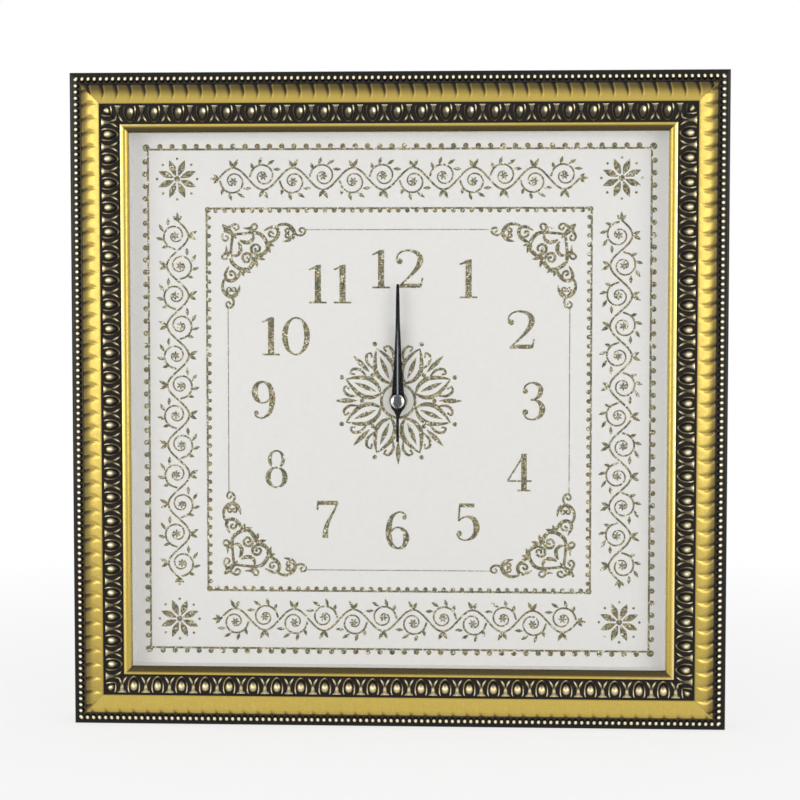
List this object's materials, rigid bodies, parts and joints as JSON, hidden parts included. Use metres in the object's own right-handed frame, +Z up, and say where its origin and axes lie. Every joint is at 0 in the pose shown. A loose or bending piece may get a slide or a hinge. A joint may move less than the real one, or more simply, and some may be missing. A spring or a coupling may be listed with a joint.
{
  "type": "picture wall clock",
  "caption": "Square picture wall clock: gilded ornamental moulding round a glazed dial with numbers, black hands and a quartz movement behind it, hung on a nail by a keyhole plate.",
  "frame": {"origin": "centre of the keyhole hanger's entry hole, on the wall plane", "axes": "+Z up, +X to the viewer's right, +Y from the dial towards the wall, so the dial faces -Y"},
  "size_m": [0.5, 0.0451, 0.5],
  "materials": {
    "gilt_moulding": "satin",
    "zinc_steel": "satin",
    "clear_glass": "polished",
    "spacer_foam": "matte",
    "printed_sheet": "satin",
    "hardboard": "matte",
    "case_plastic": "satin",
    "brass": "polished",
    "gasket_rubber": "matte",
    "soft_iron": "satin",
    "bobbin_plastic": "satin",
    "copper_wire": "gloss",
    "circuit_laminate": "satin",
    "chip_resin": "gloss",
    "contact_nickel": "gloss",
    "cell_sleeve": "gloss",
    "magnet": "satin",
    "gear_plastic": "satin",
    "hand_black": "gloss",
    "cap_chrome": "polished"
  },
  "bodies": {
    "frame_and_case": {"frame_rail_top": "gilt_moulding", "frame_rail_right": "gilt_moulding", "frame_rail_bottom": "gilt_moulding", "frame_rail_left": "gilt_moulding", "corner_nails": "zinc_steel", "front_glass": "clear_glass", "spacer_top": "spacer_foam", "spacer_right": "spacer_foam", "spacer_bottom": "spacer_foam", "spacer_left": "spacer_foam", "dial_sheet": "printed_sheet", "dial_board": "hardboard", "retaining_tabs": "zinc_steel", "hanger_plate": "zinc_steel", "hanger_screws": "zinc_steel", "movement_front_case": "case_plastic", "movement_back_case": "case_plastic", "threaded_bushing": "brass", "bushing_gasket": "gasket_rubber", "bushing_washer": "brass", "bushing_nut": "brass", "stator": "soft_iron", "coil_core": "soft_iron", "coil_bobbin": "bobbin_plastic", "coil_winding": "copper_wire", "circuit_board": "circuit_laminate", "quartz_crystal": "zinc_steel", "circuit_chip": "chip_resin", "positive_contact": "contact_nickel", "negative_contact": "contact_nickel", "dry_cell": "cell_sleeve"},
    "seconds": {"seconds_wheel": "gear_plastic", "second_hand": "hand_black", "second_hand_cap": "cap_chrome"},
    "step": {"step_wheel": "gear_plastic"},
    "rotor": {"rotor_magnet": "magnet", "rotor_pinion": "gear_plastic"},
    "third": {"third_wheel": "gear_plastic"},
    "centre": {"centre_wheel": "gear_plastic"},
    "minutes": {"minute_pipe": "gear_plastic", "clutch_washer": "zinc_steel", "minute_hand": "hand_black"},
    "motion": {"motion_wheel": "gear_plastic"},
    "hours": {"hour_wheel": "gear_plastic", "hour_hand": "hand_black"},
    "setting": {"setting_knob": "case_plastic"}
  },
  "joints": [
    {"name": "second_turn", "type": "hinge", "parent": "frame_and_case", "child": "seconds", "pos_m": [0, 0, -0.1965], "axis": [0, 1, 0], "continuous": true},
    {"name": "step_turn", "type": "hinge", "parent": "frame_and_case", "child": "step", "pos_m": [-0.00383, 0, -0.18598], "axis": [0, 1, 0], "continuous": true},
    {"name": "rotor_turn", "type": "hinge", "parent": "frame_and_case", "child": "rotor", "pos_m": [-0.01269, 0, -0.18441], "axis": [0, 1, 0], "continuous": true},
    {"name": "third_turn", "type": "hinge", "parent": "frame_and_case", "child": "third", "pos_m": [-0.01114, 0, -0.19807], "axis": [0, 1, 0], "continuous": true},
    {"name": "centre_turn", "type": "hinge", "parent": "frame_and_case", "child": "centre", "pos_m": [0, 0, -0.1965], "axis": [0, 1, 0], "continuous": true},
    {"name": "minute_turn", "type": "hinge", "parent": "frame_and_case", "child": "minutes", "pos_m": [0, 0, -0.1965], "axis": [0, 1, 0], "continuous": true},
    {"name": "motion_turn", "type": "hinge", "parent": "frame_and_case", "child": "motion", "pos_m": [0.00987, 0, -0.1908], "axis": [0, 1, 0], "continuous": true},
    {"name": "hour_turn", "type": "hinge", "parent": "frame_and_case", "child": "hours", "pos_m": [0, 0, -0.1965], "axis": [0, 1, 0], "continuous": true},
    {"name": "setting_turn", "type": "hinge", "parent": "frame_and_case", "child": "setting", "pos_m": [0.02016, 0, -0.18486], "axis": [0, 1, 0], "continuous": true}
  ],
  "couplings": [
    {"joint": "step_turn", "follows": "second_turn", "ratio": -6},
    {"joint": "rotor_turn", "follows": "second_turn", "ratio": 30},
    {"joint": "third_turn", "follows": "second_turn", "ratio": -0.125},
    {"joint": "centre_turn", "follows": "second_turn", "ratio": 0.016667},
    {"joint": "motion_turn", "follows": "minute_turn", "ratio": -0.33333},
    {"joint": "hour_turn", "follows": "minute_turn", "ratio": 0.083333},
    {"joint": "setting_turn", "follows": "minute_turn", "ratio": 0.85714}
  ]
}
